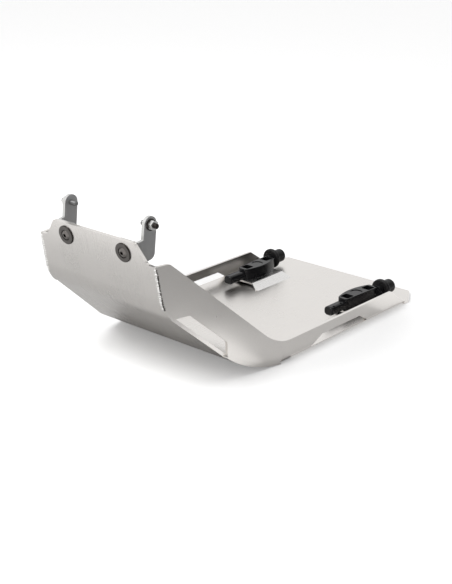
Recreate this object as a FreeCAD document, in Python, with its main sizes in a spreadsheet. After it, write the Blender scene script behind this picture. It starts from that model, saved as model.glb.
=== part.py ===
"""Engine guard for a motorbike: a folded and welded aluminium skid plate, the two steel tabs that hang its
nose from the frame, and the two plug-in rear mounts that stand on its floor.

Frame: millimetres, +Z up, the nose towards -Y and the rider's left at +X. The origin lies on the flat
underside, on the plane of symmetry. The left pieces are modelled and the right ones are their mirror images,
apart from the channels under the rear mounts, whose skirts differ.
"""
import FreeCAD
import Part
import math
import os
import re

import Sketcher
from FreeCAD import Vector

SIZES = {
    # Skid plate, seen from the side: flat floor, large roll, straight slope, small roll, upright nose.
    "sheet_thickness": 4.0,
    "rear_reach": 200.0,
    "roll_start": 99.0,
    "roll_radius": 135.0,
    "slope_angle": 41.5,
    "slope_length": 94.0,
    "nose_radius": 43.0,
    "nose_angle": 80.5,
    "nose_length": 62.5,
    # Skid plate, seen from above and from the front.
    "half_width": 125.0,
    "rear_half_width": 107.0,
    "rear_corner_reach": 171.0,
    "toe_start": 102.0,
    "toe_angle": 10.0,
    "nose_top_half_width": 65.6,
    "nose_shoulder_half_width": 81.0,
    "shoulder_drop": 21.5,
    "shoulder_round": 9.0,
    "nose_corner_round": 4.0,
    # Side flanges, their slots and the wings that run up to the nose.
    "bend_radius": 7.0,
    "flange_height": 27.0,
    "flange_end_top": 128.0,
    "flange_end_bottom": 161.0,
    "slot_height": 14.5,
    "slot_front_top": 23.0,
    "slot_front_bottom": 46.0,
    "slot_rear_top": 57.0,
    "slot_rear_bottom": 73.5,
    "slot_round": 5.0,
    "relief_radius": 2.5,
    "window_gap": 11.6,
    "window_turn": 2.0,
    "window_round": 8.0,
    "strap_width": 32.0,
    "wing_fillet": 65.0,
    "wing_corner_round": 7.0,
    # Screws, nuts and holes.
    "screw_radius": 3.0,
    "hole_clearance": 0.2,
    "head_radius": 6.0,
    "head_height": 2.1,
    "socket_across": 4.0,
    "socket_depth": 2.2,
    "nut_across": 10.0,
    "nut_height": 5.0,
    "screw_tail": 2.0,
    "screw_inset": 19.1,
    "screw_drop": 15.0,
    "cup_radius": 11.3,
    "cup_height": 1.6,
    "cup_floor": 0.6,
    "cup_round": 0.8,
    # Front tabs and the studs that they carry.
    "tab_thickness": 4.0,
    "tab_bend_radius": 6.0,
    "tab_round": 8.0,
    "ear_overhang": 0.4,
    "ear_radius": 9.3,
    "ear_lean": 6.5,
    "foot_reach": 32.6,
    "foot_half_height": 12.9,
    "foot_round": 6.0,
    "stud_reach": 27.5,
    "stud_rise": 10.9,
    "stud_inner_length": 9.0,
    "stud_tail": 4.0,
    "stud_chamfer": 0.7,
    "washer_radius": 6.5,
    "washer_thickness": 1.5,
    # Rear mounts: a low channel, a moulded block with a rounded bar in front, and a rubber plug behind.
    "mount_inset": 39.0,
    "channel_inward": 20.5,
    "channel_outward": 15.0,
    "left_skirt": 0.5,
    "right_skirt": 17.0,
    "right_flare": 8.0,
    "channel_front": 66.0,
    "channel_rear": 133.0,
    "channel_rise": 5.5,
    "channel_sheet": 2.5,
    "channel_bend": 3.5,
    "channel_round": 4.0,
    "block_front": 69.0,
    "block_rear": 136.0,
    "block_height": 15.5,
    "block_front_inward": 5.7,
    "block_front_outward": 8.4,
    "block_rear_inward": 3.0,
    "block_rear_outward": 12.0,
    "bulge_radius": 84.0,
    "block_round": 2.0,
    "block_front_round": 5.0,
    "block_edge_round": 0.7,
    "bar_front": 38.5,
    "bar_outward": 1.3,
    "bar_width": 14.0,
    "bar_height": 12.0,
    "bar_lift": 0.2,
    "bar_round": 5.0,
    "dimple_radius": 1.6,
    "dimple_depth": 3.0,
    "dimple_front": 46.0,
    "dimple_rear": 61.0,
    "pocket_depth": 9.0,
    "pocket_wall": 1.6,
    "pocket_width": 13.0,
    "pocket_round": 2.0,
    "front_pocket_start": 73.5,
    "front_pocket_end": 87.0,
    "rear_pocket_start": 117.5,
    "rear_pocket_end": 131.5,
    "badge_centre": 102.0,
    "badge_outward": 0.5,
    "badge_radius": 8.0,
    "badge_depth": 0.8,
    "plug_outward": 10.3,
    "plug_height": 18.6,
    "neck_radius": 7.5,
    "disc_front": 142.6,
    "disc_thickness": 6.0,
    "disc_radius": 14.2,
    "disc_round": 2.0,
    "plug_radius": 9.5,
    "plug_length": 19.0,
    "plug_round": 3.0,
    "stem_radius": 4.0,
    "stem_length": 7.0,
    "mount_screw_front": 95.0,
    "mount_screw_rear": 110.0,
    "mount_screw_grip": 10.0,
    # Overshoot of cutting outlines past the metal that they trim.
    "overshoot": 10.0,
}

doc = FreeCAD.newDocument("EngineGuard")
sheet = doc.addObject("Spreadsheet::Sheet", "Sizes")
for row, (name, size) in enumerate(SIZES.items(), start=1):
    sheet.set(f"A{row}", name)
    sheet.set(f"B{row}", str(size))
    sheet.setAlias(f"B{row}", name)
doc.recompute()

# Folds of the plate's lower face, as distances along Y and Z.
ROLL_END_Y = "(-roll_start - roll_radius * sin(slope_angle))"
ROLL_END_Z = "(roll_radius * (1 - cos(slope_angle)))"
SLOPE_END_Y = f"({ROLL_END_Y} - slope_length * cos(slope_angle))"
SLOPE_END_Z = f"({ROLL_END_Z} + slope_length * sin(slope_angle))"
NOSE_START_Y = f"({SLOPE_END_Y} + nose_radius * (sin(slope_angle) - sin(nose_angle)))"
NOSE_START_Z = f"({SLOPE_END_Z} + nose_radius * (cos(slope_angle) - cos(nose_angle)))"
NOSE_TOP_Y = f"({NOSE_START_Y} - nose_length * cos(nose_angle))"
NOSE_TOP_Z = f"({NOSE_START_Z} + nose_length * sin(nose_angle))"
SHOULDER_Z = f"({NOSE_TOP_Z} - shoulder_drop)"

# Each window ends behind the slope, a little way round the large roll, at this point of the lower face.
WINDOW_END = "(slope_angle - window_turn)"
WINDOW_END_Y = f"(-roll_start - roll_radius * sin({WINDOW_END}))"
WINDOW_END_Z = f"(roll_radius * (1 - cos({WINDOW_END})))"

# The wing's rising edge and the window's upper edge run parallel to the slope, at these distances from it.
WINDOW_OFFSET = "(sheet_thickness + window_gap)"
STRAP_OFFSET = f"({WINDOW_OFFSET} + strap_width)"

# The line of each rear mount's screws, and the tab's ear, foot and screw, from the plate's middle.
MOUNT_X = "(half_width - mount_inset)"
EAR_OUTER = "(nose_top_half_width + ear_overhang)"
EAR_INNER = f"({EAR_OUTER} - tab_thickness)"
FOOT_END = "(nose_top_half_width - foot_reach)"
SCREW_X = "(nose_top_half_width - screw_inset)"

HOLE_RADIUS = "(screw_radius + hole_clearance)"
CHANNEL_TOP = "(sheet_thickness + channel_rise)"

WORD = re.compile(r"[a-z][a-z_]+")


def bound(expression):
    """The expression with the name of each size pointing at its cell of the sheet."""
    return WORD.sub(lambda word: f"Sizes.{word[0]}" if word[0] in SIZES else word[0], expression)


def number(expression):
    """The expression's value with the sizes as they are now."""
    return float(sheet.evalExpression(expression))


def new_body(label):
    body = doc.addObject("PartDesign::Body", label)
    body.Label = label
    return body


def place(thing, x="0", y="0", z="0"):
    """Bind a piece's position to the sizes."""
    for axis, expression in zip("xyz", (x, y, z)):
        thing.setExpression(f".Placement.Base.{axis}", bound(expression))


def on_nose(body):
    """Put a body's origin on the nose's top edge, with its Z up along the nose and its Y into the plate."""
    place(body, "0", NOSE_TOP_Y, NOSE_TOP_Z)
    body.Placement.Rotation = FreeCAD.Rotation(Vector(1, 0, 0), number("90 - nose_angle"))
    body.setExpression(".Placement.Rotation.Angle", bound("90 - nose_angle"))


def new_sketch(body, name, plane, across="0", up="0", out="0"):
    """A sketch on one of the body's own planes, moved along the sketch's axes."""
    sketch = body.newObject("Sketcher::SketchObject", name)
    role = f"{plane}_Plane"
    support = next(feature for feature in body.Origin.OriginFeatures if feature.Role == role)
    sketch.AttachmentSupport = [(support, "")]
    sketch.MapMode = "FlatFace"
    for axis, expression in zip("xyz", (across, up, out)):
        sketch.setExpression(f".AttachmentOffset.Base.{axis}", bound(expression))
    return sketch


def turn(sketch, axis, angle):
    """Turn a sketch's plane about one of its own axes."""
    sketch.AttachmentOffset = FreeCAD.Placement(
        sketch.AttachmentOffset.Base, FreeCAD.Rotation(axis, number(angle))
    )
    sketch.setExpression(".AttachmentOffset.Rotation.Angle", bound(angle))


def fix(sketch, kind, geometry, point, expression):
    """Add one dimension and bind it to its expression."""
    if point is None:
        constraint = Sketcher.Constraint(kind, geometry, number(expression))
    else:
        constraint = Sketcher.Constraint(kind, geometry, point, number(expression))
    index = sketch.addConstraint(constraint)
    label = f"{kind.lower()}_{index}"
    sketch.renameConstraint(index, label)
    sketch.setExpression(f"Constraints.{label}", bound(expression))


def arc_between(start, end, radius, side):
    """The short arc from start to end, with its centre on the left (side 1) or on the right (side -1)."""
    chord = end - start
    normal = Vector(-chord.y, chord.x, 0).normalize() * side
    centre = (start + end) / 2 + normal * math.sqrt(radius**2 - (chord.Length / 2) ** 2)
    first, last = (start, end) if side > 0 else (end, start)
    angles = [math.atan2(point.y - centre.y, point.x - centre.x) for point in (first, last)]
    return Part.ArcOfCircle(Part.Circle(centre, Vector(0, 0, 1), radius), *angles)


def outline(sketch, corners):
    """Draw a closed outline. A corner is (across, up); with (radius, side) added, an arc leaves it."""
    points = [Vector(number(corner[0]), number(corner[1]), 0) for corner in corners]
    edges = []
    for corner, start, end in zip(corners, points, points[1:] + points[:1]):
        if len(corner) == 2:
            edges.append((sketch.addGeometry(Part.LineSegment(start, end)), 1, 2))
            continue
        radius, side = corner[2:]
        geometry = sketch.addGeometry(arc_between(start, end, number(radius), side))
        edges.append((geometry, 1, 2) if side > 0 else (geometry, 2, 1))
    for index, (geometry, start, end) in enumerate(edges):
        before, _, before_end = edges[index - 1]
        sketch.addConstraint(Sketcher.Constraint("Coincident", before, before_end, geometry, start))
        fix(sketch, "DistanceX", geometry, start, corners[index][0])
        fix(sketch, "DistanceY", geometry, start, corners[index][1])
        if len(corners[index]) > 2:
            fix(sketch, "Radius", geometry, None, corners[index][2])


def mirrored(corners):
    """The corners of an outline's mirror image across the sketch's upright axis."""
    return [(f"-({c[0]})", c[1]) if len(c) == 2 else (f"-({c[0]})", c[1], c[2], -c[3]) for c in corners]


def both_sides(sketch, corners):
    """Draw an outline and its mirror image."""
    outline(sketch, corners)
    outline(sketch, mirrored(corners))


def circle(sketch, across, up, radius):
    geometry = sketch.addGeometry(
        Part.Circle(Vector(number(across), number(up), 0), Vector(0, 0, 1), number(radius))
    )
    fix(sketch, "DistanceX", geometry, 3, across)
    fix(sketch, "DistanceY", geometry, 3, up)
    fix(sketch, "Radius", geometry, None, radius)


def hexagon(sketch, across_flats):
    """A hexagon about the sketch's origin, with two corners on its upright axis."""
    corner = f"({across_flats}) / sqrt(3)"
    outline(sketch, [(f"{corner} * sin({60 * k})", f"{corner} * cos({60 * k})") for k in range(6)])


def rectangle(sketch, left, right, bottom, top):
    outline(sketch, [(left, bottom), (right, bottom), (right, top), (left, top)])


def rounded_rectangle(sketch, left, right, bottom, top, radius):
    outline(sketch, [
        (f"{left} + {radius}", bottom),
        (f"{right} - {radius}", bottom, radius, 1),
        (right, f"{bottom} + {radius}"),
        (right, f"{top} - {radius}", radius, 1),
        (f"{right} - {radius}", top),
        (f"{left} + {radius}", top, radius, 1),
        (left, f"{top} - {radius}"),
        (left, f"{bottom} + {radius}", radius, 1),
    ])


def extrude(kind, body, sketch, name, length, reverse, symmetric):
    feature = body.newObject(f"PartDesign::{kind}", name)
    feature.Profile = sketch
    feature.setExpression("Length", bound(length))
    feature.Reversed = reverse
    if symmetric:
        feature.SideType = "Symmetric"
    doc.recompute()
    return feature


def pad(body, sketch, name, length, reverse=False, symmetric=False):
    return extrude("Pad", body, sketch, name, length, reverse, symmetric)


def pocket(body, sketch, name, length, reverse=False, symmetric=False):
    """Cut the sketch's outline into the body, and make sure that it met material."""
    before = body.Shape.Volume
    feature = extrude("Pocket", body, sketch, name, length, reverse, symmetric)
    if body.Shape.Volume >= before:
        raise ValueError(f"{name} cuts nothing")
    return feature


def revolve(body, sketch, name, axis):
    """Turn the sketch's outline once round one of the sketch's own axes."""
    feature = body.newObject("PartDesign::Revolution", name)
    feature.Profile = sketch
    feature.ReferenceAxis = (sketch, [axis])
    feature.Angle = 360.0
    doc.recompute()
    return feature


def fillet(body, name, radius, *places):
    """Round the edges that lie at one of the places: each place gives coordinates that both ends share."""
    base = body.Tip

    def lies_at(edge, place):
        ends = [vertex.Point for vertex in edge.Vertexes]
        return all(abs(getattr(end, axis) - number(size)) < 0.01 for axis, size in place.items() for end in ends)

    names = [
        f"Edge{index}"
        for index, edge in enumerate(base.Shape.Edges, start=1)
        if any(lies_at(edge, place) for place in places)
    ]
    feature = body.newObject("PartDesign::Fillet", name)
    feature.Base = (base, names)
    feature.setExpression("Radius", bound(radius))
    doc.recompute()
    return feature


def skid_plate():
    """The folded sheet with its flanges, and the wings welded to the sides of its nose."""
    body = new_body("skid_plate")
    plate_strip(body)
    side_flanges(body)
    for side in (1, -1):
        wing(body, side)
    trim_sides(body)
    for side in (1, -1):
        side_openings(body, side)
    trim_nose(body)
    plate_holes(body)
    return body


def plate_strip(body):
    """The sheet as one broad strip along its side profile, then cut to its outline from above."""
    def inner(y, z, angle):
        return (f"{y} + sheet_thickness * sin({angle})", f"{z} + sheet_thickness * cos({angle})")

    profile = new_sketch(body, "side_profile", "YZ")
    outline(profile, [
        ("rear_reach", "0"),
        ("-roll_start", "0", "roll_radius", -1),
        (ROLL_END_Y, ROLL_END_Z),
        (SLOPE_END_Y, SLOPE_END_Z, "nose_radius", -1),
        (NOSE_START_Y, NOSE_START_Z),
        (NOSE_TOP_Y, NOSE_TOP_Z),
        inner(NOSE_TOP_Y, NOSE_TOP_Z, "nose_angle"),
        (*inner(NOSE_START_Y, NOSE_START_Z, "nose_angle"), "nose_radius - sheet_thickness", 1),
        inner(SLOPE_END_Y, SLOPE_END_Z, "slope_angle"),
        (*inner(ROLL_END_Y, ROLL_END_Z, "slope_angle"), "roll_radius - sheet_thickness", 1),
        ("-roll_start", "sheet_thickness"),
        ("rear_reach", "sheet_thickness"),
    ])
    pad(body, profile, "strip", "2 * half_width", symmetric=True)

    trim = new_sketch(body, "plan_trim", "XY")
    beyond = "half_width + overshoot"
    front = f"({NOSE_TOP_Y} - overshoot)"
    both_sides(trim, [
        ("half_width - bend_radius", "flange_end_bottom"),
        ("half_width - bend_radius", "-toe_start"),
        ("half_width", "-toe_start"),
        (f"half_width + ({front} + toe_start) * tan(toe_angle)", front),
        (beyond, front),
        (beyond, "flange_end_bottom"),
    ])
    both_sides(trim, [
        ("rear_half_width", "rear_reach"),
        ("half_width", "rear_corner_reach"),
        (beyond, "rear_corner_reach"),
        (beyond, "rear_reach + overshoot"),
        ("rear_half_width", "rear_reach + overshoot"),
    ])
    pocket(body, trim, "plan_outline", f"{NOSE_TOP_Z} + overshoot", reverse=True)


def side_flanges(body):
    """The bent-up sides of the floor. Their top edges are trimmed later, with the wings."""
    tall = "flange_height + wing_fillet * (1 - cos(slope_angle))"
    section = new_sketch(body, "flange_section", "XZ", out="-flange_end_bottom")
    both_sides(section, [
        ("half_width - bend_radius", "0", "bend_radius", 1),
        ("half_width", "bend_radius"),
        ("half_width", tall),
        ("half_width - sheet_thickness", tall),
        ("half_width - sheet_thickness", "bend_radius", "bend_radius - sheet_thickness", -1),
        ("half_width - bend_radius", "sheet_thickness"),
    ])
    pad(body, section, "flanges", "flange_end_bottom + toe_start")


def along(y):
    """A distance along Y, measured along the toed-in plane of a wing."""
    return f"(({y} + toe_start) / cos(toe_angle))"


def above_slope(y, offset):
    """The height, at a given Y, of the line that runs parallel to the slope's lower face."""
    return f"({ROLL_END_Z} - ({y} - {ROLL_END_Y}) * tan(slope_angle) + ({offset}) / cos(slope_angle))"


def wing_sketch(body, name, side):
    sketch = new_sketch(body, name, "YZ", across="-toe_start", out=f"{side} * half_width")
    turn(sketch, Vector(0, 1, 0), f"{-side} * toe_angle")
    return sketch


def wing(body, side):
    """One wing, drawn on its toed-in plane. Its lower and front edges end inside the sheet that they meet."""
    half = "sheet_thickness / 2"
    rise = "(atan(tan(slope_angle) * cos(toe_angle)))"
    rear_run = f"(window_round * tan((90 deg - {rise}) / 2))"
    front_run = f"(window_round * tan({rise} / 2))"
    rear = along(f"{WINDOW_END_Y} + {half} * sin({WINDOW_END})")
    rear_top = above_slope(f"{WINDOW_END_Y} + {half} * sin({WINDOW_END})", WINDOW_OFFSET)
    front = along(f"{SLOPE_END_Y} + {WINDOW_OFFSET} / sin(slope_angle)")
    nose_run = f"((shoulder_drop + {half} * cos(nose_angle)) / sin(nose_angle))"
    side_name = "left" if side > 0 else "right"
    sketch = wing_sketch(body, f"wing_{side_name}", side)
    outline(sketch, [
        ("0", half, f"(roll_radius - {half}) / cos(toe_angle)", -1),
        (rear, f"{WINDOW_END_Z} + {half} * cos({WINDOW_END})"),
        (rear, f"{rear_top} - {rear_run}", "window_round", 1),
        (f"{rear} - {rear_run} * cos({rise})", f"{rear_top} + {rear_run} * sin({rise})"),
        (f"{front} + {front_run} * cos({rise})", f"{SLOPE_END_Z} - {front_run} * sin({rise})", "window_round", 1),
        (f"{front} - {front_run}", SLOPE_END_Z),
        (along(f"{SLOPE_END_Y} + {half} / sin(slope_angle)"), SLOPE_END_Z, f"nose_radius - {half}", -1),
        (along(f"{NOSE_START_Y} + {half} * sin(nose_angle)"), f"{NOSE_START_Z} + {half} * cos(nose_angle)"),
        (along(f"{NOSE_TOP_Y} + {half} * sin(nose_angle) + {nose_run} * cos(nose_angle)"), SHOULDER_Z),
        ("0", SHOULDER_Z),
    ])
    pad(body, sketch, f"wing_plate_{side_name}", "sheet_thickness", reverse=side > 0)


def trim_sides(body):
    """Cut the tops of the flanges and wings to one sweeping edge, and the flanges' rear ends to a slant."""
    def on_rising_edge(height):
        run = f"(({height} - {ROLL_END_Z} - {STRAP_OFFSET} * cos(slope_angle)) / sin(slope_angle))"
        return f"({ROLL_END_Y} - {run} * cos(slope_angle) + {STRAP_OFFSET} * sin(slope_angle))"

    low = on_rising_edge("flange_height")
    high = on_rising_edge(SHOULDER_Z)
    fillet_run = "(wing_fillet * tan(slope_angle / 2))"
    round_run = "(wing_corner_round * tan(slope_angle / 2))"
    above = f"({NOSE_TOP_Z} + overshoot)"
    trim = new_sketch(body, "side_trim", "YZ")
    outline(trim, [
        ("flange_end_bottom", "sheet_thickness"),
        ("flange_end_top", "flange_height"),
        (f"{low} + {fillet_run}", "flange_height", "wing_fillet", -1),
        (f"{low} - {fillet_run} * cos(slope_angle)", f"flange_height + {fillet_run} * sin(slope_angle)"),
        (
            f"{high} + {round_run} * cos(slope_angle)",
            f"{SHOULDER_Z} - {round_run} * sin(slope_angle)",
            "wing_corner_round",
            1,
        ),
        (f"{high} - {round_run}", SHOULDER_Z),
        (f"{high} - {round_run}", above),
        ("rear_reach + overshoot", above),
        ("rear_reach + overshoot", "sheet_thickness"),
    ])
    pocket(body, trim, "side_outline", "2 * (half_width + overshoot)", symmetric=True)


def side_openings(body, side):
    """The slot over the flange's bend, the relief notches at the two ends of the big roll, and the slope's edge
    along the window, which stands back to the wing's inner face."""
    side_name = "left" if side > 0 else "right"
    outside = f"{side} * (half_width + overshoot)"
    sketch = new_sketch(body, f"slot_{side_name}", "YZ", out=outside)
    front_angle = "atan((slot_height - sheet_thickness) / (slot_front_bottom - slot_front_top))"
    rounding = f"(slot_round * tan({front_angle} / 2))"
    outline(sketch, [
        ("-slot_front_bottom", "sheet_thickness"),
        ("slot_rear_bottom", "sheet_thickness"),
        ("slot_rear_top", "slot_height"),
        (f"-slot_front_top + {rounding}", "slot_height", "slot_round", 1),
        (f"-slot_front_top - {rounding} * cos({front_angle})", f"slot_height - {rounding} * sin({front_angle})"),
    ])
    circle(sketch, "-toe_start", "relief_radius", "relief_radius")
    pocket(body, sketch, f"slot_cut_{side_name}", "overshoot + bend_radius", reverse=side < 0)

    notch = new_sketch(body, f"relief_{side_name}", "YZ", out=outside)
    circle(notch, WINDOW_END_Y, WINDOW_END_Z, "relief_radius")
    toed_in = f"(-{WINDOW_END_Y} - toe_start) * tan(toe_angle)"
    pocket(body, notch, f"relief_cut_{side_name}", f"overshoot + {toed_in} + bend_radius", reverse=side < 0)

    edge = wing_sketch(body, f"slope_edge_{side_name}", side)
    rear = f"{WINDOW_END_Y} + sheet_thickness / 2 * sin({WINDOW_END})"
    inside = "(sheet_thickness + window_gap / 2)"
    outline(edge, [
        (along(rear), above_slope(rear, "-2 * sheet_thickness")),
        (along(rear), above_slope(rear, inside)),
        (along(f"{SLOPE_END_Y} + {inside} / sin(slope_angle)"), SLOPE_END_Z),
        (along(f"{SLOPE_END_Y} - 2 * sheet_thickness / sin(slope_angle)"), SLOPE_END_Z),
    ])
    pocket(body, edge, f"slope_edge_cut_{side_name}", "sheet_thickness", reverse=side < 0)


def trim_nose(body):
    """Cut the nose to its narrow top with rounded corners and level shoulders."""
    fall = "atan(shoulder_drop / (nose_shoulder_half_width - nose_top_half_width))"
    run = f"(shoulder_round * tan({fall} / 2))"
    above = f"{NOSE_TOP_Z} + overshoot"
    trim = new_sketch(body, "nose_trim", "XZ")
    corner_run = f"(nose_corner_round * tan({fall} / 2))"
    both_sides(trim, [
        (f"nose_top_half_width - {corner_run}", above),
        (f"nose_top_half_width - {corner_run}", NOSE_TOP_Z, "nose_corner_round", -1),
        (f"nose_top_half_width + {corner_run} * cos({fall})", f"{NOSE_TOP_Z} - {corner_run} * sin({fall})"),
        (
            f"nose_shoulder_half_width - {run} * cos({fall})",
            f"{SHOULDER_Z} + {run} * sin({fall})",
            "shoulder_round",
            1,
        ),
        (f"nose_shoulder_half_width + {run}", SHOULDER_Z),
        ("half_width + overshoot", SHOULDER_Z),
        ("half_width + overshoot", above),
    ])
    pocket(body, trim, "nose_outline", f"2 * (overshoot - {NOSE_TOP_Y})", symmetric=True)


def plate_holes(body):
    """Holes for the nose screws, square to the nose, and countersunk holes for the mounts' screws."""
    nose = new_sketch(body, "nose_holes", "XZ", up=NOSE_TOP_Z, out=f"-{NOSE_TOP_Y}")
    turn(nose, Vector(1, 0, 0), "90 - nose_angle")
    for side in ("", "-"):
        circle(nose, f"{side}{SCREW_X}", "-screw_drop", HOLE_RADIUS)
    pocket(body, nose, "nose_screw_holes", "4 * sheet_thickness", symmetric=True)

    floor = new_sketch(body, "floor_holes", "XY")
    sink = new_sketch(body, "floor_sinks", "XY")
    for side in ("", "-"):
        for reach in ("mount_screw_front", "mount_screw_rear"):
            circle(floor, f"{side}{MOUNT_X}", reach, HOLE_RADIUS)
            circle(sink, f"{side}{MOUNT_X}", reach, "head_radius + hole_clearance")
    pocket(body, floor, "floor_screw_holes", "2 * sheet_thickness", reverse=True)
    cones = pocket(body, sink, "countersinks", "head_radius - screw_radius", reverse=True)
    cones.TaperAngle = -45.0


def front_tab():
    """A bent steel tab: a foot against the back of the nose, and an ear that stands up behind it."""
    body = new_body("front_tab_left")
    on_nose(body)
    lean = "(90 - nose_angle + ear_lean)"
    top = "(foot_half_height - screw_drop)"
    bottom = "(-foot_half_height - screw_drop)"
    rounding = f"(tab_round * tan((90 - {lean}) / 2))"

    def ear_point(back, up):
        """A point of the ear, counted from its stud along and across the ear."""
        y = f"stud_reach + ({back}) * cos({lean}) + ({up}) * sin({lean})"
        z = f"stud_rise - ({back}) * sin({lean}) + ({up}) * cos({lean})"
        return y, z

    def on_edge(back, height):
        """A point of one of the ear's long edges, at a height in the body's own frame."""
        up = f"({height} - stud_rise + ({back}) * sin({lean})) / cos({lean})"
        return ear_point(back, up)[0]

    rear_corner = on_edge("ear_radius", bottom)
    ear = new_sketch(body, "ear_outline", "YZ", out=EAR_OUTER)
    outline(ear, [
        ("sheet_thickness", bottom),
        ("sheet_thickness", top),
        (on_edge("-ear_radius", top), top),
        (*ear_point("-ear_radius", "0"), "ear_radius", -1),
        (*ear_point("0", "ear_radius"), "ear_radius", -1),
        ear_point("ear_radius", "0"),
        (f"{rear_corner} + {rounding} * sin({lean})", f"{bottom} + {rounding} * cos({lean})", "tab_round", -1),
        (f"{rear_corner} - {rounding}", bottom),
    ])
    circle(ear, "stud_reach", "stud_rise", HOLE_RADIUS)
    pad(body, ear, "ear", "tab_thickness", reverse=True)

    foot = new_sketch(body, "foot_outline", "XZ", out="-sheet_thickness")
    rectangle(foot, FOOT_END, EAR_OUTER, bottom, top)
    circle(foot, SCREW_X, "-screw_drop", HOLE_RADIUS)
    pad(body, foot, "foot", "tab_thickness", reverse=True)
    foot_end = {"x": FOOT_END}
    fillet(body, "foot_corners", "foot_round", {**foot_end, "z": top}, {**foot_end, "z": bottom})
    fillet(body, "bend_outside", "tab_bend_radius", {"x": EAR_OUTER, "y": "sheet_thickness"})
    inside = {"x": EAR_INNER, "y": "sheet_thickness + tab_thickness"}
    fillet(body, "bend_inside", "tab_bend_radius - tab_thickness", inside)
    return body


def nose_cup():
    """The dished cup under each nose screw's head."""
    body = new_body("nose_cup_left")
    on_nose(body)
    section = new_sketch(body, "cup_section", "YZ", up="-screw_drop", out=SCREW_X)
    recess = "head_radius + 2 * hole_clearance"
    outline(section, [
        ("0", HOLE_RADIUS),
        ("-cup_floor", HOLE_RADIUS),
        ("-cup_floor", recess),
        ("-cup_height", recess),
        ("-cup_height", "cup_radius - cup_round", "cup_round", -1),
        ("cup_round - cup_height", "cup_radius"),
        ("0", "cup_radius"),
    ])
    revolve(body, section, "cup", "H_Axis")
    return body


def nose_screw():
    """A button-head screw with a hexagon socket, through the nose and the tab's foot."""
    body = new_body("nose_screw_left")
    on_nose(body)
    tip = "sheet_thickness + tab_thickness + nut_height + screw_tail"
    face = "head_radius / 2"
    section = new_sketch(body, "screw_section", "YZ", up="-screw_drop", out=SCREW_X)
    outline(section, [
        (tip, "0"),
        (tip, "screw_radius"),
        ("-cup_floor", "screw_radius"),
        ("-cup_floor", "head_radius", "head_radius", 1),
        ("-cup_floor - head_height", face),
        ("-cup_floor - head_height", "0"),
    ])
    revolve(body, section, "screw", "H_Axis")
    socket = new_sketch(
        body, "socket", "XZ", across=SCREW_X, up="-screw_drop", out="cup_floor + head_height"
    )
    hexagon(socket, "socket_across")
    pocket(body, socket, "socket_cut", "socket_depth")
    return body


def nose_nut():
    """The nut behind the tab's foot."""
    body = new_body("nose_nut_left")
    on_nose(body)
    sketch = new_sketch(
        body, "nut_outline", "XZ", across=SCREW_X, up="-screw_drop",
        out="-(sheet_thickness + tab_thickness)",
    )
    hexagon(sketch, "nut_across")
    circle(sketch, "0", "0", "screw_radius + hole_clearance / 2")
    pad(body, sketch, "nut", "nut_height", reverse=True)
    return body


def tab_stud():
    """The stud pressed into the ear: its inner end goes into the frame's lug, its outer end takes a nut."""
    body = new_body("tab_stud_left")
    on_nose(body)
    inner = f"{EAR_INNER} - stud_inner_length"
    outer = f"{EAR_OUTER} + washer_thickness + nut_height + stud_tail"
    section = new_sketch(body, "stud_section", "XZ", up="stud_rise", out="-stud_reach")
    outline(section, [
        (inner, "0"),
        (outer, "0"),
        (outer, "screw_radius - stud_chamfer"),
        (f"{outer} - stud_chamfer", "screw_radius"),
        (EAR_OUTER, "screw_radius"),
        (EAR_OUTER, HOLE_RADIUS),
        (EAR_INNER, HOLE_RADIUS),
        (EAR_INNER, "screw_radius"),
        (f"{inner} + stud_chamfer", "screw_radius"),
        (inner, "screw_radius - stud_chamfer"),
    ])
    revolve(body, section, "stud", "H_Axis")
    return body


def tab_washer():
    """The plain washer between the ear and the stud's nut."""
    body = new_body("tab_washer_left")
    on_nose(body)
    sketch = new_sketch(body, "washer_outline", "YZ", across="stud_reach", up="stud_rise", out=EAR_OUTER)
    circle(sketch, "0", "0", "washer_radius")
    circle(sketch, "0", "0", HOLE_RADIUS)
    pad(body, sketch, "washer", "washer_thickness")
    return body


def tab_nut():
    """The nut on the stud's outer end."""
    body = new_body("tab_nut_left")
    on_nose(body)
    sketch = new_sketch(
        body, "nut_outline", "YZ", across="stud_reach", up="stud_rise", out=f"{EAR_OUTER} + washer_thickness"
    )
    hexagon(sketch, "nut_across")
    circle(sketch, "0", "0", "screw_radius + hole_clearance / 2")
    pad(body, sketch, "nut", "nut_height")
    return body


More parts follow.
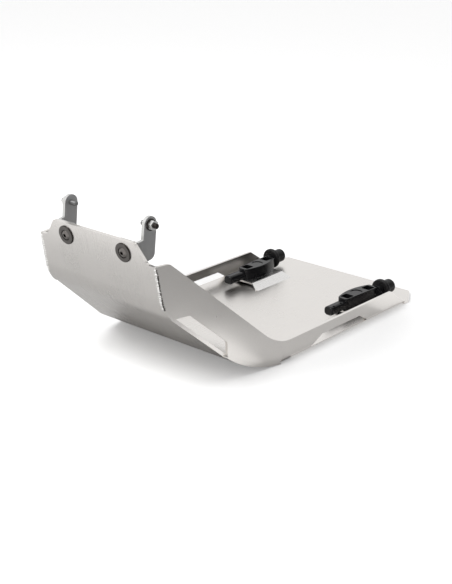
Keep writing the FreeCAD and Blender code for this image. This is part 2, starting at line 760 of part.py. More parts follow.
def mount_channel(side):
    """The low channel of bright sheet under a rear mount. The inner side is spread to a skirt, wide on the right."""
    side_name = "left" if side > 0 else "right"
    body = new_body(f"mount_channel_{side_name}")
    place(body, f"{side} * {MOUNT_X}", z="sheet_thickness")
    inner_bend = "channel_bend - channel_sheet"
    slope = f"(90 deg - atan({side_name}_skirt / channel_rise))"
    skirt_end = f"(-channel_inward - {side_name}_skirt)"
    ridge = f"(channel_sheet * tan({slope} / 2) - channel_inward)"

    def run(radius):
        return f"(({radius}) * tan({slope} / 2))"

    def draw(sketch, points):
        outline(sketch, points if side > 0 else mirrored(points))

    section = new_sketch(body, "channel_section", "XZ", out="-channel_rear")
    draw(section, [
        (skirt_end, "0"),
        (f"{skirt_end} + channel_sheet / sin({slope})", "0"),
        (
            f"{ridge} - {run(inner_bend)} * cos({slope})",
            f"channel_rise - channel_sheet - {run(inner_bend)} * sin({slope})",
            inner_bend,
            -1,
        ),
        (f"{ridge} + {run(inner_bend)}", "channel_rise - channel_sheet"),
        ("channel_outward - channel_bend", "channel_rise - channel_sheet", inner_bend, -1),
        ("channel_outward - channel_sheet", "channel_rise - channel_bend"),
        ("channel_outward - channel_sheet", "0"),
        ("channel_outward", "0"),
        ("channel_outward", "channel_rise - channel_bend", "channel_bend", 1),
        ("channel_outward - channel_bend", "channel_rise"),
        (f"{run('channel_bend')} - channel_inward", "channel_rise", "channel_bend", 1),
        (
            f"-channel_inward - {run('channel_bend')} * cos({slope})",
            f"channel_rise - {run('channel_bend')} * sin({slope})",
        ),
    ])
    front = "channel_front" if side > 0 else "(channel_front - right_flare)"
    pad(body, section, "channel", f"channel_rear - {front}")
    corners = new_sketch(body, "skirt_corners", "XY")
    for end, inwards, outwards, turning in ((front, "+", "-", -1), ("channel_rear", "-", "+", 1)):
        beyond = f"{end} {outwards} overshoot"
        draw(corners, [
            (f"{skirt_end} - overshoot", beyond),
            (f"{skirt_end} + channel_round", beyond),
            (f"{skirt_end} + channel_round", end, "channel_round", turning),
            (skirt_end, f"{end} {inwards} channel_round"),
            (f"{skirt_end} - overshoot", f"{end} {inwards} channel_round"),
        ])
    pocket(body, corners, "skirt_rounding", "2 * channel_rise", reverse=True)
    if side < 0:
        flare = new_sketch(body, "skirt_flare", "XY")
        draw(flare, [
            (f"{skirt_end} + channel_round", front),
            ("-channel_inward", "channel_front"),
            ("channel_outward + overshoot", "channel_front"),
            ("channel_outward + overshoot", f"{front} - overshoot"),
            (f"{skirt_end} + channel_round", f"{front} - overshoot"),
        ])
        pocket(body, flare, "skirt_flare_cut", "2 * channel_rise", reverse=True)
    holes = new_sketch(body, "channel_holes", "XY")
    for reach in ("mount_screw_front", "mount_screw_rear"):
        circle(holes, "0", reach, HOLE_RADIUS)
    pocket(body, holes, "channel_screw_holes", "2 * channel_rise", reverse=True)
    return body


def rear_mount():
    """The moulded block: a D-shaped body with two pockets, a rounded bar in front and a round neck behind."""
    body = new_body("rear_mount_left")
    place(body, MOUNT_X, z=CHANNEL_TOP)
    block = new_sketch(body, "block_outline", "XY")
    outline(block, [
        ("block_front_outward", "block_front"),
        ("block_rear_outward", "block_rear"),
        ("-block_rear_inward", "block_rear", "bulge_radius", 1),
        ("-block_front_inward", "block_front"),
    ])
    pad(body, block, "block", "block_height")
    fillet(
        body, "block_corners", "block_round",
        {"x": "block_rear_outward", "y": "block_rear"},
        {"x": "-block_rear_inward", "y": "block_rear"},
    )
    fillet(
        body, "block_front_corners", "block_front_round",
        {"x": "-block_front_inward", "y": "block_front"},
        {"x": "block_front_outward", "y": "block_front"},
    )
    fillet(body, "block_top_edge", "block_edge_round", {"z": "block_height"})

    bar = new_sketch(body, "bar_section", "XZ", out="-bar_front")
    rounded_rectangle(
        bar, "bar_outward - bar_width / 2", "bar_outward + bar_width / 2", "bar_lift", "bar_lift + bar_height",
        "bar_round",
    )
    pad(body, bar, "bar", "block_front - bar_front + block_front_round", reverse=True)
    fillet(body, "bar_front_edges", "bar_round / 2", {"y": "bar_front"})

    neck = new_sketch(body, "neck_outline", "XZ", across="plug_outward", up=f"plug_height - {CHANNEL_TOP}",
                      out="-disc_front")
    circle(neck, "0", "0", "neck_radius")
    pad(body, neck, "neck", "disc_front - block_rear + pocket_wall")
    stem = new_sketch(body, "stem_hole", "XZ", across="plug_outward", up=f"plug_height - {CHANNEL_TOP}",
                      out="-disc_front")
    circle(stem, "0", "0", "stem_radius + hole_clearance / 2")
    pocket(body, stem, "stem_hole_cut", "stem_length + hole_clearance", reverse=True)

    def outer_wall(reach):
        share = f"({reach} - block_front) / (block_rear - block_front)"
        return f"(block_front_outward + {share} * (block_rear_outward - block_front_outward) - pocket_wall)"

    pockets = new_sketch(body, "pocket_outlines", "XY", out="block_height")
    for start, end in (("front_pocket_start", "front_pocket_end"), ("rear_pocket_start", "rear_pocket_end")):
        wall = outer_wall(f"({start} + {end}) / 2")
        rounded_rectangle(pockets, f"{wall} - pocket_width", wall, start, end, "pocket_round")
    pocket(body, pockets, "pocket_cuts", "pocket_depth")
    badge = new_sketch(body, "badge_outline", "XY", out="block_height")
    circle(badge, "badge_outward", "badge_centre", "badge_radius")
    pocket(body, badge, "badge_recess", "badge_depth")
    dimples = new_sketch(body, "dimple_outlines", "XY", out="bar_lift + bar_height")
    for reach in ("dimple_front", "dimple_rear"):
        circle(dimples, "bar_outward + bar_width / 4", reach, "dimple_radius")
    pocket(body, dimples, "dimple_cuts", "dimple_depth")
    holes = new_sketch(body, "screw_holes", "XY")
    for reach in ("mount_screw_front", "mount_screw_rear"):
        circle(holes, "0", reach, "screw_radius + hole_clearance / 2")
    pocket(body, holes, "screw_hole_cuts", "mount_screw_grip + hole_clearance", reverse=True)
    return body


def rear_plug():
    """The rubber plug that pushes into the frame: a broad disc, a round body and a stem into the block."""
    body = new_body("rear_plug_left")
    place(body, f"{MOUNT_X} + plug_outward", "disc_front", "plug_height")
    end = "(disc_thickness + plug_length)"
    section = new_sketch(body, "plug_section", "XY")
    outline(section, [
        ("0", "-stem_length"),
        ("stem_radius", "-stem_length"),
        ("stem_radius", "0"),
        ("disc_radius - disc_round", "0", "disc_round", 1),
        ("disc_radius", "disc_round"),
        ("disc_radius", "disc_thickness - disc_round", "disc_round", 1),
        ("disc_radius - disc_round", "disc_thickness"),
        ("plug_radius", "disc_thickness"),
        ("plug_radius", f"{end} - plug_round", "plug_round", 1),
        ("plug_radius - plug_round", end),
        ("0", end),
    ])
    revolve(body, section, "plug", "V_Axis")
    return body


def mount_screw(reach):
    """A countersunk screw, flush with the underside, up through floor and channel into the block."""
    body = new_body(f"mount_screw_{reach}_left")
    place(body, MOUNT_X, f"mount_screw_{reach}", "hole_clearance")
    section = new_sketch(body, "screw_section", "XZ")
    tip = f"{CHANNEL_TOP} + mount_screw_grip - hole_clearance"
    outline(section, [
        ("0", "0"),
        ("head_radius", "0"),
        ("screw_radius", "head_radius - screw_radius"),
        ("screw_radius", tip),
        ("0", tip),
    ])
    revolve(body, section, "screw", "V_Axis")
    socket = new_sketch(body, "socket", "XY")
    hexagon(socket, "socket_across")
    pocket(body, socket, "socket_cut", "socket_depth", reverse=True)
    return body


def mirror_image(left):
    """The right-hand piece: the left one mirrored across the plane of symmetry."""
    right = doc.addObject("Part::Mirroring", left.Label.replace("left", "right"))
    right.Label = left.Label.replace("left", "right")
    right.Source = left
    right.Normal = Vector(1, 0, 0)
    return right


pieces = [skid_plate(), mount_channel(1), mount_channel(-1)]
for left_piece in (
    front_tab(), nose_cup(), nose_screw(), nose_nut(), tab_stud(), tab_washer(), tab_nut(),
    rear_mount(), rear_plug(), mount_screw("front"), mount_screw("rear"),
):
    pieces += [left_piece, mirror_image(left_piece)]
doc.recompute()

for thing in doc.Objects:
    if {"Invalid", "Error"} & set(thing.State):
        raise ValueError(f"{thing.Label}: {thing.State}")
os.makedirs("parts", exist_ok=True)
for piece in pieces:
    shape = piece.Shape
    if shape.isNull() or not shape.isValid() or len(shape.Solids) != 1:
        raise ValueError(f"{piece.Label} is not one sound solid")
    shape.exportStep(f"parts/{piece.Label}.step")
    print(piece.Label, round(shape.Volume), "cubic mm")
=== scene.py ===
# %% [markdown]
# # An engine guard in satin aluminium
# A motorbike's engine guard lies on a white table: a folded plate with an upturned nose, two steel tabs, and two
# black mounts at the rear. The solids come ready made, true to size, so this lesson is about finishes, welds,
# light and camera. The first cell loads those solids. Its helpers find the box that a solid fills, hang new things
# on a body, shorten numbers for printing and put new things into the scene.

# %% Load the solids
import math

import bmesh
import bpy
from mathutils import Matrix, Vector


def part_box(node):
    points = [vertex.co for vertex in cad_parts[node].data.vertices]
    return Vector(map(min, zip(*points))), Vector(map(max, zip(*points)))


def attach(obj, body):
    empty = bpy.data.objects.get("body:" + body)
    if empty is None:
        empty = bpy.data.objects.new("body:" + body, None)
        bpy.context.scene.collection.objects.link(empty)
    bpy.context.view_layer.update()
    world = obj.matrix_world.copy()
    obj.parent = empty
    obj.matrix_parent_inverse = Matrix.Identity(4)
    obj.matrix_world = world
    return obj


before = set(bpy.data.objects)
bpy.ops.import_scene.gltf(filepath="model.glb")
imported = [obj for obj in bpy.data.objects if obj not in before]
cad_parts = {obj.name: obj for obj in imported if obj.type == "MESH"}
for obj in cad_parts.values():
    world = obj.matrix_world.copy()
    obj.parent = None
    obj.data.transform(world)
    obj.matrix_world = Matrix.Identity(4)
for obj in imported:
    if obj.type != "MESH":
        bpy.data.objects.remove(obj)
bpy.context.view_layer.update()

MM = 0.001


def rounded(place):
    """A place in metres, to the millimetre."""
    return tuple(round(part, 3) for part in place)


def placed(name, data):
    """A new object in the scene, made from a mesh, a lamp or a camera."""
    thing = bpy.data.objects.new(name, data)
    bpy.context.scene.collection.objects.link(thing)
    return thing


# %% [markdown]
# A finish is a network of nodes. Networks are easier to read as sums than as boxes and wires, so one small class
# wraps a node's socket: plus, minus, times and abs add Math nodes, and `node` adds any other kind. Its settings
# are set first, because some of them change which sockets the node has.

# %% Sockets that do arithmetic
class Wire:
    """One socket of a shader network, which takes part in Python expressions."""

    def __init__(self, socket):
        self.socket = socket

    def node(self, kind, settings=None, inputs=None, output=0):
        """Add a node beside this socket, feed its inputs, and return one of its outputs."""
        tree = self.socket.id_data
        made = tree.nodes.new(kind)
        for name, setting in (settings or {}).items():
            setattr(made, name, setting)
        for name, value in (inputs or {}).items():
            if isinstance(value, Wire):
                tree.links.new(value.socket, made.inputs[name])
            else:
                made.inputs[name].default_value = value
        return Wire(made.outputs[output])

    def math(self, operation, first, second=0.0):
        return self.node("ShaderNodeMath", {"operation": operation}, {0: first, 1: second})

    def larger(self, other):
        return self.math("MAXIMUM", self, other)

    def __add__(self, other):
        return self.math("ADD", self, other)

    def __sub__(self, other):
        return self.math("SUBTRACT", self, other)

    def __rsub__(self, other):
        return self.math("SUBTRACT", other, self)

    def __mul__(self, other):
        return self.math("MULTIPLY", self, other)

    def __neg__(self):
        return 0.0 - self

    def __abs__(self):
        return self.math("ABSOLUTE", self)

    __radd__ = __add__
    __rmul__ = __mul__


print("Wire ready: + - * and abs write Math nodes")

# %% [markdown]
# Every finish starts the same way: a new material with its Principled shader, the numbers that are the same all
# over it, and the place of each point in metres. The place comes from the object's own coordinates, so the grain
# stays on the metal from every side. The other helpers stretch a pattern, sample noise, mix two colours, cut a
# range out of a value, ask which way the surface faces, and turn a height into bumps.

# %% Helpers for finishes
class Finish:
    """A material under construction: its shader, and the place of each point as a Wire."""

    def __init__(self, name, **constants):
        self.material = bpy.data.materials.new(name)
        self.material.use_nodes = True
        self.tree = self.material.node_tree
        self.shader = self.tree.nodes["Principled BSDF"]
        for socket, value in constants.items():
            self.shader.inputs[socket.replace("_", " ")].default_value = value
        self.place = Wire(self.tree.nodes.new("ShaderNodeTexCoord").outputs["Object"])

    def stretched(self, x, y, z):
        """The place, with each axis multiplied by its own number."""
        return self.place.node(
            "ShaderNodeVectorMath", {"operation": "MULTIPLY"}, {0: self.place, 1: (x, y, z)}
        )

    def noise(self, scale, detail=2.0, place=None):
        return self.place.node(
            "ShaderNodeTexNoise", None, {"Vector": place or self.place, "Scale": scale, "Detail": detail}
        )

    def mix(self, share, first, second):
        """The first colour where the share is 0, the second where it is 1."""
        return self.place.node(
            "ShaderNodeMix", {"data_type": "RGBA"}, {0: share, 6: first, 7: second}, output=2
        )

    def between(self, value, low, high):
        """0 below low, 1 above high, and a smooth rise between them."""
        return self.place.node(
            "ShaderNodeMapRange", {"interpolation_type": "SMOOTHSTEP"},
            {"Value": value, "From Min": low, "From Max": high},
        )

    def part_of(self, vector, axis):
        """One of a vector's three parts: X, Y or Z."""
        return self.place.node("ShaderNodeSeparateXYZ", None, {0: vector}, output=axis)

    def facing(self, axis):
        """How far the surface faces along an axis, from -1 to 1."""
        return self.part_of(self.place.node("ShaderNodeNewGeometry", output="Normal"), axis)

    def bump(self, height, distance, strength):
        return self.place.node(
            "ShaderNodeBump", None, {"Height": height, "Distance": distance, "Strength": strength}
        )

    def feed(self, **sockets):
        """Link Wires to the shader's sockets, and return the finished material."""
        for socket, wire in sockets.items():
            self.tree.links.new(wire.socket, self.shader.inputs[socket.replace("_", " ")])
        return self.material


print("Finish ready")

# %% [markdown]
# The plate is mill-finished sheet, wiped to an even satin. Rolled sheet has very fine lines along its length, a
# slightly cloudy sheen from handling, and a few faint rubs. The lines run along the strip that floor, slope and
# nose are bent from, so the noise is squeezed hard across the plate (along X) and left long in the other two
# directions. On faces that look sideways, the wings and flanges, that squeeze would give dots instead of lines,
# so there they are left out. A faint mottle of grains about two millimetres wide comes from the wiping. Cloud and
# lines move the roughness much more than the colour, which is how bare metal looks. The small channels are the
# same metal, cut from patchier sheet.

# %% Satin aluminium
LINES = (1600.0, 14.0, 14.0)
RUBS = (30.0, 190.0, 190.0)
CLOUD = 16.0
MOTTLE = 480.0


def satin_aluminium(name, pale, deep, roughness):
    finish = Finish(name, Metallic=1.0)
    on_strip = 1 - finish.between(abs(finish.facing("X")), 0.5, 0.9)
    lines = 0.5 + on_strip * (finish.noise(1.0, 2.0, finish.stretched(*LINES)) - 0.5)
    rubs = on_strip * finish.between(finish.noise(1.0, 3.0, finish.stretched(*RUBS)), 0.62, 0.80)
    cloud = finish.noise(CLOUD, 4.0)
    mottle = finish.between(finish.noise(MOTTLE, 1.0), 0.25, 0.75)
    return finish.feed(
        Base_Color=finish.mix(cloud * 0.5 + lines * 0.3 + mottle * 0.15 + rubs * 0.05, deep, pale),
        Roughness=roughness + (cloud - 0.5) * 0.10 + (lines - 0.5) * 0.10 - rubs * 0.03,
        Normal=finish.bump(lines, 0.02 * MM, 0.12),
    )


plate_aluminium = satin_aluminium(
    "plate_aluminium", pale=(0.80, 0.775, 0.745, 1), deep=(0.70, 0.675, 0.65, 1), roughness=0.29
)
channel_aluminium = satin_aluminium(
    "channel_aluminium", pale=(0.88, 0.87, 0.86, 1), deep=(0.60, 0.59, 0.58, 1), roughness=0.28
)
print("Made", plate_aluminium.name, "and", channel_aluminium.name)

# %% [markdown]
# The tabs are zinc-plated steel that has gone dull and grey. Zinc dries in faint patches, so a coarse noise moves
# tone and roughness together, and a fine one gives the tooth of the plating. The edges were cut after rolling and
# are brighter than the skin of the sheet. They could be picked out by hand, face by face, but on these tabs they
# are simply the faces that look forward or up.

# %% Dull zinc on the tabs
ZINC_DARK = (0.31, 0.31, 0.315, 1)
ZINC_LIGHT = (0.43, 0.43, 0.43, 1)
ZINC_EDGE = (0.60, 0.60, 0.59, 1)


def dull_zinc():
    finish = Finish("dull_zinc", Metallic=0.85)
    patches = finish.noise(70.0, 4.0)
    tooth = finish.noise(1500.0, 2.0)
    forward = finish.between(-finish.facing("Y"), 0.5, 0.95)
    upward = finish.between(finish.facing("Z"), 0.5, 0.95)
    skin = finish.mix(patches, ZINC_DARK, ZINC_LIGHT)
    return finish.feed(
        Base_Color=finish.mix(forward.larger(upward), skin, ZINC_EDGE),
        Roughness=0.46 + (patches - 0.5) * 0.16 + (tooth - 0.5) * 0.08,
        Normal=finish.bump(tooth, 0.03 * MM, 0.5),
    )


tab_zinc = dull_zinc()
print("Made", tab_zinc.name)

# %% [markdown]
# Screws, cups and washers are blackened steel, which is really a dark brown. It thins to grey on the faces that
# are rubbed, the ones that look forward, and stays black round their edges and in the socket. The edge is given
# for each finish: a domed screw head is rubbed further round than a flat cup.

# %% Blackened steel
BLACK = (0.030, 0.026, 0.024, 1)
EDGE_BLUR = 0.07


def blackened_steel(name, rubbed, edge):
    """Blackened steel. The edge is how far a face has to look forward, from 0 to 1, before it is rubbed."""
    finish = Finish(name, Metallic=0.85)
    patches = finish.noise(240.0, 3.0)
    tooth = finish.noise(2600.0, 2.0)
    forward = finish.between(-finish.facing("Y"), edge, edge + EDGE_BLUR)
    return finish.feed(
        Base_Color=finish.mix(forward * (0.7 + 0.6 * patches), BLACK, rubbed),
        Roughness=0.38 + (patches - 0.5) * 0.20,
        Normal=finish.bump(tooth, 0.03 * MM, 0.4),
    )


cup_steel = blackened_steel("cup_steel", rubbed=(0.115, 0.107, 0.101, 1), edge=0.90)
screw_steel = blackened_steel("screw_steel", rubbed=(0.170, 0.157, 0.148, 1), edge=0.45)
dark_steel = blackened_steel("blackened_steel", rubbed=(0.10, 0.092, 0.088, 1), edge=0.90)
print("Made", cup_steel.name, screw_steel.name, "and", dark_steel.name)

# %% [markdown]
# The studs show their thread: fine rings round the shank, one every millimetre. A cut thread would cost thousands
# of faces, so a triangle wave along X is used as bump instead. Their inner ends are plated grey like the tabs and
# their outer ends are black, so the distance from the guard's middle decides the colour. The nuts are bright zinc.

# %% Threads and nuts
STUD_EAR = 66.0 * MM
THREAD_PITCH = 1.0 * MM
WAVE_RADIANS = 20
PLATED_GREY = (0.24, 0.24, 0.24, 1)
NUT_DARK = (0.62, 0.62, 0.60, 1)
NUT_LIGHT = (0.80, 0.80, 0.79, 1)


def threaded_steel():
    """Steel with a thread along X. A Wave node of scale 1 turns by 20 radians in each metre."""
    finish = Finish("threaded_steel", Metallic=0.85, Roughness=0.40)
    rings = finish.place.node(
        "ShaderNodeTexWave", {"bands_direction": "X", "wave_profile": "TRI"},
        {"Vector": finish.place, "Scale": math.tau / (WAVE_RADIANS * THREAD_PITCH), "Distortion": 0.0},
    )
    outside = finish.between(abs(finish.part_of(finish.place, "X")), STUD_EAR - 1 * MM, STUD_EAR)
    return finish.feed(
        Base_Color=finish.mix(outside, PLATED_GREY, BLACK),
        Normal=finish.bump(rings, 0.25 * MM, 0.6),
    )


def bright_zinc():
    finish = Finish("bright_zinc", Metallic=1.0)
    patches = finish.noise(160.0, 3.0)
    return finish.feed(
        Base_Color=finish.mix(patches, NUT_DARK, NUT_LIGHT),
        Roughness=0.20 + patches * 0.14,
    )


stud_steel = threaded_steel()
nut_zinc = bright_zinc()
print("Made", stud_steel.name, "and", nut_zinc.name)

# %% [markdown]
# The mounts are moulded in black plastic with a fine spark texture. At a low angle such plastic mirrors the white
# room, which is why its top looks grey: that comes from the shader's own gloss, not from a grey colour. The plugs
# are rubber, softer in sheen and a little dusty.

# %% Black mouldings and rubber
JET = (0.005, 0.005, 0.006, 1)
WORN_PLASTIC = (0.013, 0.013, 0.014, 1)
DUSTY_RUBBER = (0.016, 0.015, 0.015, 1)
LOW_GLOSS = 0.25


def black_moulding():
    finish = Finish("black_moulding", Specular_IOR_Level=LOW_GLOSS)
    spark = finish.noise(1900.0, 3.0)
    wear = finish.noise(55.0, 4.0)
    return finish.feed(
        Base_Color=finish.mix(wear, JET, WORN_PLASTIC),
        Roughness=0.22 + (wear - 0.5) * 0.14 + (spark - 0.5) * 0.08,
        Normal=finish.bump(spark, 0.03 * MM, 0.35),
    )


def black_rubber():
    finish = Finish("black_rubber", Specular_IOR_Level=LOW_GLOSS)
    dust = finish.noise(90.0, 5.0)
    tooth = finish.noise(1300.0, 2.0)
    return finish.feed(
        Base_Color=finish.mix(dust, JET, DUSTY_RUBBER),
        Roughness=0.44 + (dust - 0.5) * 0.20,
        Normal=finish.bump(tooth, 0.05 * MM, 0.4),
    )


mount_plastic = black_moulding()
plug_rubber = black_rubber()
print("Made", mount_plastic.name, "and", plug_rubber.name)

# %% [markdown]
# The solids already have the right shape, so each keeps its mesh and only gets its finish. The node's name without
# its side says what it is.

# %% Dress the solids
finish_of = {
    "skid_plate": plate_aluminium,
    "front_tab": tab_zinc,
    "nose_cup": cup_steel,
    "nose_screw": screw_steel,
    "nose_nut": nut_zinc,
    "tab_stud": stud_steel,
    "tab_washer": dark_steel,
    "tab_nut": nut_zinc,
    "mount_channel": channel_aluminium,
    "rear_mount": mount_plastic,
    "rear_plug": plug_rubber,
    "mount_screw_front": nut_zinc,
    "mount_screw_rear": nut_zinc,
}
for node_name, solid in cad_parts.items():
    kind = node_name.removesuffix("_left").removesuffix("_right")
    solid.data.materials.clear()
    solid.data.materials.append(finish_of[kind])
print("Dressed", len(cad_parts), "solids in", len(set(finish_of.values())), "finishes")

# %% [markdown]
# Each wing is welded to the edge of the nose. A hand-laid weld is a row of overlapping ripples, like a leaning
# stack of coins. It follows the plate's corner, which could be read off the mesh, but is clearer worked out from
# the plate's own folds: straight down the nose, then round the small roll.

# %% Path of the weld
SHEET = 4.0 * MM
NOSE_ANGLE = math.radians(80.5)
NOSE_LENGTH = 62.5 * MM
NOSE_ROLL = 43.0 * MM
TOE = math.radians(10.0)
TOE_LINE = Vector((125.0 * MM, -102.0 * MM))
SHOULDER_DROP = 21.8 * MM
WELD_END = 78.0 * MM

plate_low, plate_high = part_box("skid_plate")
nose_top = Vector((plate_low.y, plate_high.z - SHEET * math.cos(NOSE_ANGLE)))


def corner_at(down, side):
    """The plate's outer corner at a distance down from its top edge, and the two directions that face out."""
    straight = min(down, NOSE_LENGTH)
    angle = NOSE_ANGLE - (down - straight) / NOSE_ROLL
    y = nose_top.x + straight * math.cos(NOSE_ANGLE) + NOSE_ROLL * (math.sin(NOSE_ANGLE) - math.sin(angle))
    z = nose_top.y - straight * math.sin(NOSE_ANGLE) - NOSE_ROLL * (math.cos(angle) - math.cos(NOSE_ANGLE))
    x = TOE_LINE.x + (y - TOE_LINE.y) * math.tan(TOE)
    off_nose = Vector((0, -math.sin(angle), -math.cos(angle)))
    off_wing = Vector((side * math.cos(TOE), -math.sin(TOE), 0))
    return Vector((side * x, y, z)), off_nose, off_wing


print("Weld runs from", *[rounded(corner_at(down, 1)[0]) for down in (SHOULDER_DROP, WELD_END)])

# %% [markdown]
# The bead could be a row of spheres, but one swept tube that swells once per ripple is cleaner: a single closed
# skin. The ring of points at each step is an oval in the plane of the two outward directions: broad across the
# nose, where the bead was laid, and thin at the wing. Its centre sits inside the corner, so that only the crown
# stands proud. The bead thins out at both ends, and no two ripples are quite alike.

# %% Shape of a bead
RIPPLE = 2.6 * MM
BEAD_WIDTH = 2.9 * MM
BEAD_HEIGHT = 2.2 * MM
BEAD_INSET = 1.6 * MM
BEAD_SINK = 1.0 * MM
BEAD_LOW = 0.72
BEAD_RISE = 0.28
END_SHARE = 0.45
END_SLOPE = 6
STEPS_PER_RIPPLE = 7
RING = 14


def swell(along):
    """The bead's swelling at a distance along it: each ripple rises steeply and falls away slowly."""
    count, share = divmod(along / RIPPLE, 1.0)
    wander = 0.05 * math.sin(2.4 * count) + 0.04 * math.sin(5.1 * count + 1.0)
    return BEAD_LOW + wander + BEAD_RISE * math.sin(math.pi * share**0.6)


def bead_ring(shape, side, along, taper):
    """One oval of points round the corner, at a distance along the bead."""
    corner, off_nose, off_wing = corner_at(SHOULDER_DROP + along, side)
    centre = corner - off_nose * BEAD_SINK - off_wing * BEAD_INSET
    up = off_nose * BEAD_HEIGHT * swell(along) * taper
    out = off_wing * BEAD_WIDTH * swell(along) * taper
    turns = [math.tau * k / RING for k in range(RING)]
    return [shape.verts.new(centre + math.cos(turn) * up + math.sin(turn) * out) for turn in turns]


def weld_bead(name, side, finish):
    """A closed, rippled tube along the corner between the nose and one wing."""
    shape = bmesh.new()
    length = WELD_END - SHOULDER_DROP
    steps = round(length / RIPPLE * STEPS_PER_RIPPLE)
    rings = []
    for step in range(steps + 1):
        taper = min(1.0, END_SHARE + END_SLOPE * min(step, steps - step) / steps)
        rings.append(bead_ring(shape, side, length * step / steps, taper))
    for lower, upper in zip(rings, rings[1:]):
        for k in range(RING):
            shape.faces.new((lower[k], lower[k - 1], upper[k - 1], upper[k]))
    shape.faces.new(rings[0])
    shape.faces.new(list(reversed(rings[-1])))
    bmesh.ops.recalc_face_normals(shape, faces=shape.faces)
    mesh = bpy.data.meshes.new(name)
    shape.to_mesh(mesh)
    shape.free()
    mesh.shade_smooth()
    mesh.materials.append(finish)
    return placed(name, mesh)


print("A bead has a ripple every", round(RIPPLE / MM, 1), "mm")

# %% [markdown]
# Fresh weld is brighter and grainier than the sheet. The crease where the bead meets the wing is painted as shade:
# dark dashes in the bead's colour. The painted shade could follow the bead's length, but it is enough to let noise
# break it up wherever the bead's own surface turns sideways. Both corners get the same bead. Weld and plate are
# one metal, so the beads ride on the guard.

# %% Lay the weld beads
WELD_DULL = (0.60, 0.59, 0.57, 1)
WELD_BRIGHT = (0.97, 0.96, 0.94, 1)
CREASE_SHADE = (0.06, 0.055, 0.05, 1)


def weld_metal():
    finish = Finish("weld_metal", Metallic=1.0)
    # Painted shade: faces of the bead that turn sideways, towards the wing, get dark dashes for the crease's
    # shadow.
    edge = finish.between(abs(finish.facing("X")), 0.50, 0.75)
    painted_crease_shade = edge * (0.30 + 0.70 * finish.between(finish.noise(300.0, 1.0), 0.38, 0.50))
    grains = finish.noise(620.0, 2.0)
    clean = finish.mix(finish.between(grains, 0.36, 0.60), WELD_DULL, WELD_BRIGHT)
    return finish.feed(
        Base_Color=finish.mix(painted_crease_shade, clean, CREASE_SHADE),
        Roughness=0.26 + grains * 0.16 + painted_crease_shade * 0.25,
        Normal=finish.bump(grains, 0.35 * MM, 0.7),
    )


bead_metal = weld_metal()
for side_name, side in (("left", 1), ("right", -1)):
    bead = weld_bead(f"weld_bead_{side_name}", side, bead_metal)
    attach(bead, "root")
    print(bead.name, "has", len(bead.data.polygons), "faces")

# %% [markdown]
# Table and cards are plain planes. They belong to the picture and not to the guard.
# The second helper tells the rays that show a picture from those that only carry light. With it a surface can
# look white without lighting the guard any more.

# %% Helpers for the stage
def stage_plane(name, finish, corners):
    mesh = bpy.data.meshes.new(name)
    mesh.from_pydata(corners, [], [tuple(range(len(corners)))])
    mesh.materials.append(finish)
    plane = placed(name, mesh)
    return plane


def seen_rays(tree):
    """1 for the rays that show a picture: straight to the camera, by way of a mirror, or through glass."""
    rays = tree.nodes.new("ShaderNodeLightPath")
    camera_ray, glossy_ray, through_ray = (
        Wire(rays.outputs[f"Is {kind} Ray"]) for kind in ("Camera", "Glossy", "Transmission")
    )
    return camera_ray.larger(glossy_ray).larger(through_ray)


print("Stage helpers ready")

# %% [markdown]
# The guard lies on a white table whose edges are far out of sight. The table glows a little white for the rays
# that show a picture, and more further out, so that it ends in white. Its weaker glow close to the guard's middle
# is painted shade round the guard, which keeps the shadow close to the plate. A stronger lamp would whiten the
# table too, but it would wash out the guard.

# %% Table
TABLE_REACH = 6.0
TABLE_DROP = 0.3 * MM
TABLE_COLOUR = (0.94, 0.94, 0.94, 1)
TABLE_WHITE = 0.48
WHITE_IN_PAINTED_SHADE = 0.46
WHITE_GAIN = 0.6
WHITE_FROM = 0.16
WHITE_TO = 0.28

table_finish = Finish("white_table", Base_Color=TABLE_COLOUR, Roughness=0.8, Emission_Strength=TABLE_WHITE)
distance = table_finish.place.node(
    "ShaderNodeVectorMath", {"operation": "LENGTH"}, {0: table_finish.place}, output="Value"
)
# Painted shade: the glow is weaker near the guard's middle and rises between WHITE_FROM and WHITE_TO.
glow_with_painted_shade = WHITE_IN_PAINTED_SHADE + WHITE_GAIN * table_finish.between(distance, WHITE_FROM, WHITE_TO)
table_finish.feed(Emission_Color=glow_with_painted_shade * seen_rays(table_finish.tree))
stage_plane("table", table_finish.material, [
    (sx * TABLE_REACH, sy * TABLE_REACH, -TABLE_DROP) for sx, sy in ((-1, -1), (1, -1), (1, 1), (-1, 1))
])
print("Table whitens from", WHITE_FROM, "to", WHITE_TO, "m round the middle")

# %% [markdown]
# The room is the world around table and guard. It is white to the camera and in reflections, and much dimmer as a
# lamp, so that the table keeps a soft shadow.

# %% Room
ROOM_LAMP = 0.40

world = bpy.data.worlds.new("white_room")
bpy.context.scene.world = world
world.use_nodes = True
background = world.node_tree.nodes["Background"]
background.inputs["Color"].default_value = (1, 1, 1, 1)
strength = ROOM_LAMP + seen_rays(world.node_tree) * (1 - ROOM_LAMP)
world.node_tree.links.new(strength.socket, background.inputs["Strength"])
print("Room lamp", ROOM_LAMP)

# %% [markdown]
# Bare metal shows whatever stands around it. A photographer puts cards beside a shiny thing to give its faces
# depth: here a grey card leans away from the guard's left side, which tones the wing, and a strip lies at its foot
# for the flange. A tall dark screen stands behind on the left, which darkens the inner face of the far flange. The
# third card is painted shade: a grey sheet under the nose and in front of it, which puts a deeper shade under the
# nose into the reflections of the nose and the slope. Only reflections see the four of them.

# %% Cards
CARD_TOP = 0.45
SCREEN_TOP = 1.5


def card(name, grey, corners):
    cloth = Finish(f"{name}_cloth", Base_Color=(grey, grey, grey, 1), Roughness=1.0).material
    plane = stage_plane(name, cloth, corners)
    for ray_kind in ("camera", "diffuse", "shadow"):
        setattr(plane, f"visible_{ray_kind}", False)


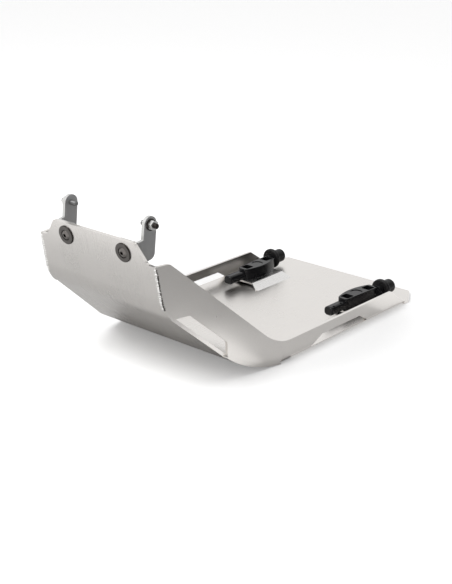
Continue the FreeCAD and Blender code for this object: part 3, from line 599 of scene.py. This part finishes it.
card("leaning_card", grey=0.50, corners=[
    (0.28, -0.45, 0.0), (0.25, 0.09, 0.0), (0.60, 0.09, CARD_TOP), (0.66, -0.45, CARD_TOP)
])
card("strip_card", grey=0.80, corners=[
    (0.13, -0.12, 0.0), (0.27, -0.12, 0.0), (0.27, 0.15, 0.0), (0.13, 0.12, 0.0)
])
# Painted shade: a grey sheet, seen only in reflections, that stands for the shade under the nose.
card("painted_shade_card", grey=0.63, corners=[
    (-0.43, -0.48, 0.0), (0.14, -0.48, 0.0), (0.14, -0.08, 0.0), (-0.43, -0.08, 0.0)
])
card("dark_screen", grey=0.01, corners=[
    (0.30, 0.14, 0.0), (0.50, 1.50, 0.0), (0.50, 1.50, SCREEN_TOP), (0.30, 0.14, SCREEN_TOP)
])
print("Cards", CARD_TOP, "m and", SCREEN_TOP, "m tall")

# %% [markdown]
# One soft lamp hangs high in front of the nose, a little to the guard's right. From there its light reaches in
# under the nose, so that the shadow stays close to the plate.

# %% Lamp
def soft_lamp(name, place, target, width, watts):
    lamp = bpy.data.lights.new(name, "AREA")
    lamp.shape = "SQUARE"
    lamp.size = width
    lamp.energy = watts
    holder = placed(name, lamp)
    holder.location = place
    holder.rotation_mode = "QUATERNION"
    holder.rotation_quaternion = (Vector(target) - Vector(place)).to_track_quat("-Z", "Y")


soft_lamp("overhead", place=(-0.3, -1.3, 1.9), target=(0, -0.1, 0.05), width=1.0, watts=26.0)

# %% [markdown]
# The camera stands where the photographer stood: in front and to the left of the guard, a little above it, with a
# longish lens. Its position and its three axes were worked out from pairs of points that mirror each other across
# the guard's middle.

# %% Camera
LENS = 70.5
SENSOR = 36.0
EYE = Vector((905.9, -1078.0, 565.1)) * MM
RIGHT = Vector((0.7463, 0.6656, 0.0))
UP = Vector((-0.2360, 0.2646, 0.9351))
BACK = RIGHT.cross(UP).normalized()

lens = bpy.data.cameras.new("camera")
lens.lens = LENS
lens.sensor_width = SENSOR
camera = placed("camera", lens)
camera.matrix_world = Matrix.Translation(EYE) @ Matrix((RIGHT, UP, BACK)).transposed().to_4x4()
bpy.context.scene.camera = camera
bpy.context.scene.view_settings.view_transform = "Standard"
print("Camera at", rounded(EYE), "with a", LENS, "mm lens")
